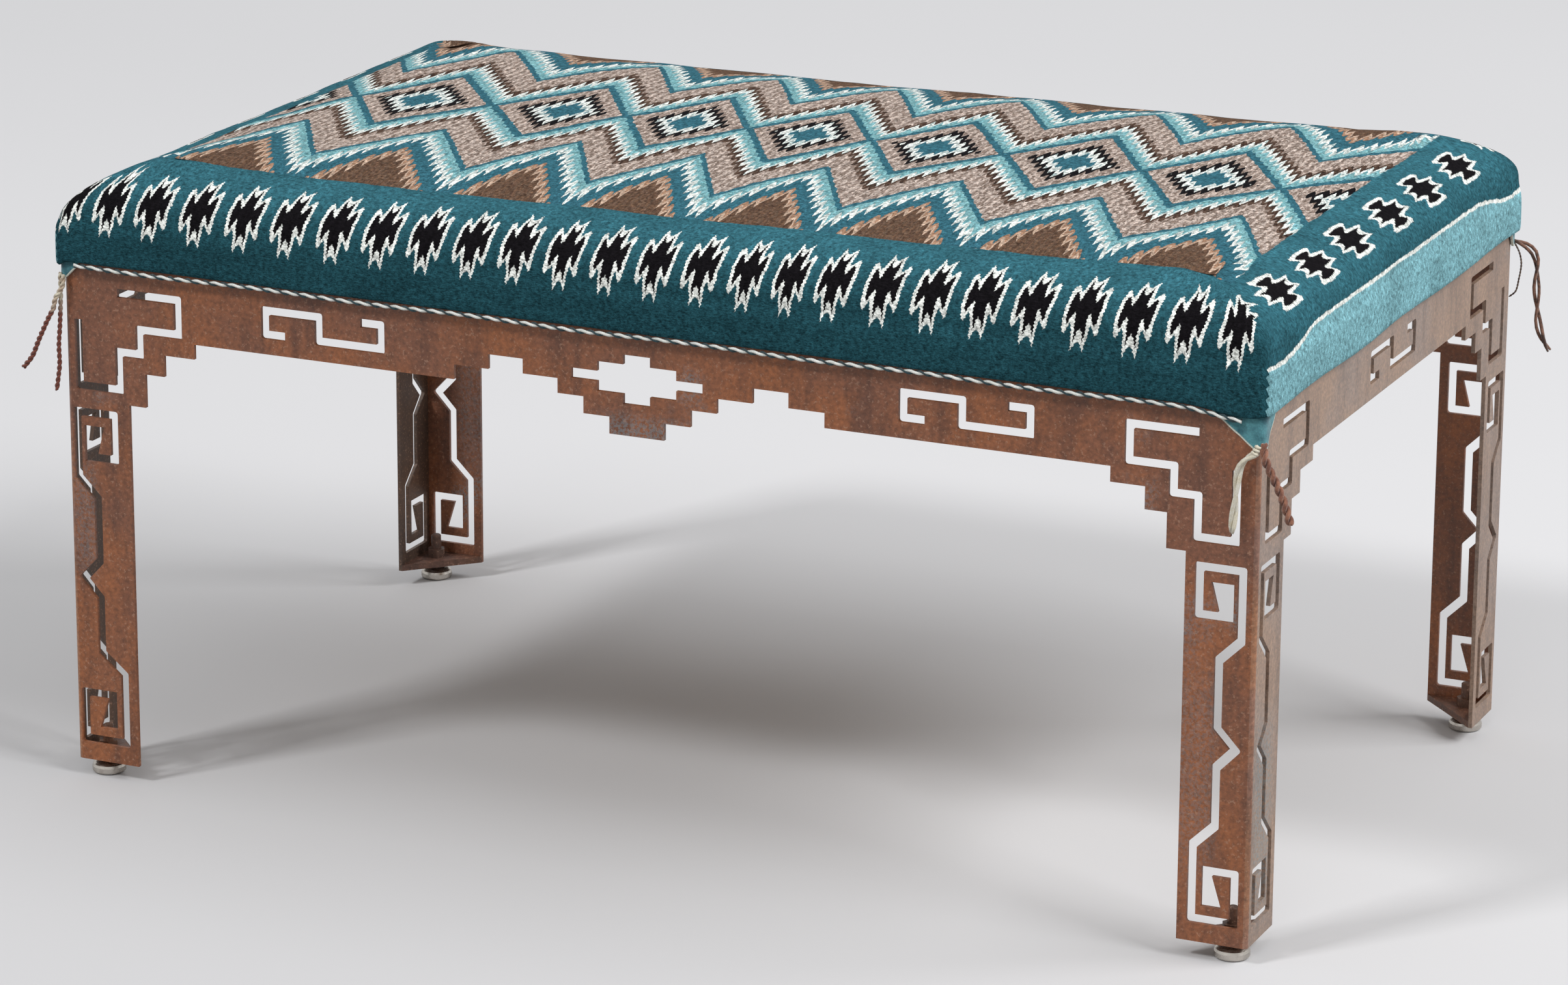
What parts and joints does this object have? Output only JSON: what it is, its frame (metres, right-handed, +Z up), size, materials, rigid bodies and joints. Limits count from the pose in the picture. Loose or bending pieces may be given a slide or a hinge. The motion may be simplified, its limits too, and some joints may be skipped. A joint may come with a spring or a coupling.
{
  "type": "upholstered bench",
  "caption": "Bench with a pierced patinated steel frame, stepped brackets and levelling glides, and a padded seat that wears a patterned woven blanket.",
  "frame": {"origin": "on the floor under the middle of the seat", "axes": "+X along the bench's length to the right as seen from the front, -Y to the front, +Z up"},
  "size_m": [0.9778, 0.57, 0.4695],
  "materials": {
    "patina_steel": "matt chemical patina, rust brown with verdigris specks",
    "weld_steel": "ground weld, rubbed bright under the patina",
    "nickel": "bright nickel plate",
    "zinc_steel": "zinc plated",
    "nylon": "moulded nylon",
    "plywood": "raw birch plywood",
    "foam": "upholstery foam",
    "weave": "tapestry-woven wool in teal, turquoise, brown, orange, white and black",
    "weave_light": "tapestry-woven wool, light turquoise",
    "selvedge": "two-strand twisted wool cord, white and dark",
    "dark_yarn": "dark brown wool yarn",
    "brown_yarn": "brown wool yarn",
    "white_yarn": "white wool yarn"
  },
  "bodies": {
    "frame": {"front_panel": "patina_steel", "back_panel": "patina_steel", "left_panel": "patina_steel", "right_panel": "patina_steel", "corner_welds": "weld_steel", "foot_plate_front_left": "patina_steel", "foot_plate_front_right": "patina_steel", "foot_plate_back_left": "patina_steel", "foot_plate_back_right": "patina_steel", "foot_nuts": "zinc_steel", "seat_gusset_front_left": "patina_steel", "seat_gusset_front_right": "patina_steel", "seat_gusset_back_left": "patina_steel", "seat_gusset_back_right": "patina_steel", "seat_lug_front": "patina_steel", "seat_lug_back": "patina_steel", "seat_screws": "zinc_steel", "screw_washers": "zinc_steel", "seat_deck": "plywood", "seat_foam": "foam", "woven_cover": "weave", "selvedge_front": "selvedge", "selvedge_back": "selvedge", "corner_tabs": "weave_light", "tassel_front_left_dark": "dark_yarn", "tassel_front_left_forked": "brown_yarn", "tassel_front_right_white": "white_yarn", "tassel_front_right_brown": "brown_yarn", "tassel_back_right_twisted": "brown_yarn", "tassel_back_right_strand": "dark_yarn"},
    "glide_front_left": {"glide_base_front_left": "nickel", "glide_pad_front_left": "nylon"},
    "stud_front_left": {"glide_stud_front_left": "zinc_steel"},
    "glide_front_right": {"glide_base_front_right": "nickel", "glide_pad_front_right": "nylon"},
    "stud_front_right": {"glide_stud_front_right": "zinc_steel"},
    "glide_back_left": {"glide_base_back_left": "nickel", "glide_pad_back_left": "nylon"},
    "stud_back_left": {"glide_stud_back_left": "zinc_steel"},
    "glide_back_right": {"glide_base_back_right": "nickel", "glide_pad_back_right": "nylon"},
    "stud_back_right": {"glide_stud_back_right": "zinc_steel"}
  },
  "joints": [
    {"name": "glide_front_left_travel", "type": "slide", "parent": "frame", "child": "glide_front_left", "axis": [0, 0, -1], "range_m": [0, 0.01]},
    {"name": "stud_front_left_turn", "type": "hinge", "parent": "glide_front_left", "child": "stud_front_left", "pos_m": [-0.441, -0.258, 0.013], "axis": [0, 0, -1], "range_deg": [0, 2882]},
    {"name": "glide_front_right_travel", "type": "slide", "parent": "frame", "child": "glide_front_right", "axis": [0, 0, -1], "range_m": [0, 0.01]},
    {"name": "stud_front_right_turn", "type": "hinge", "parent": "glide_front_right", "child": "stud_front_right", "pos_m": [0.441, -0.258, 0.013], "axis": [0, 0, -1], "range_deg": [0, 2882]},
    {"name": "glide_back_left_travel", "type": "slide", "parent": "frame", "child": "glide_back_left", "axis": [0, 0, -1], "range_m": [0, 0.01]},
    {"name": "stud_back_left_turn", "type": "hinge", "parent": "glide_back_left", "child": "stud_back_left", "pos_m": [-0.441, 0.258, 0.013], "axis": [0, 0, -1], "range_deg": [0, 2882]},
    {"name": "glide_back_right_travel", "type": "slide", "parent": "frame", "child": "glide_back_right", "axis": [0, 0, -1], "range_m": [0, 0.01]},
    {"name": "stud_back_right_turn", "type": "hinge", "parent": "glide_back_right", "child": "stud_back_right", "pos_m": [0.441, 0.258, 0.013], "axis": [0, 0, -1], "range_deg": [0, 2882]}
  ],
  "couplings": [
    {"joint": "stud_front_left_turn", "follows": "glide_front_left_travel", "rad_per_m": 5026.5},
    {"joint": "stud_front_right_turn", "follows": "glide_front_right_travel", "rad_per_m": 5026.5},
    {"joint": "stud_back_left_turn", "follows": "glide_back_left_travel", "rad_per_m": 5026.5},
    {"joint": "stud_back_right_turn", "follows": "glide_back_right_travel", "rad_per_m": 5026.5}
  ]
}
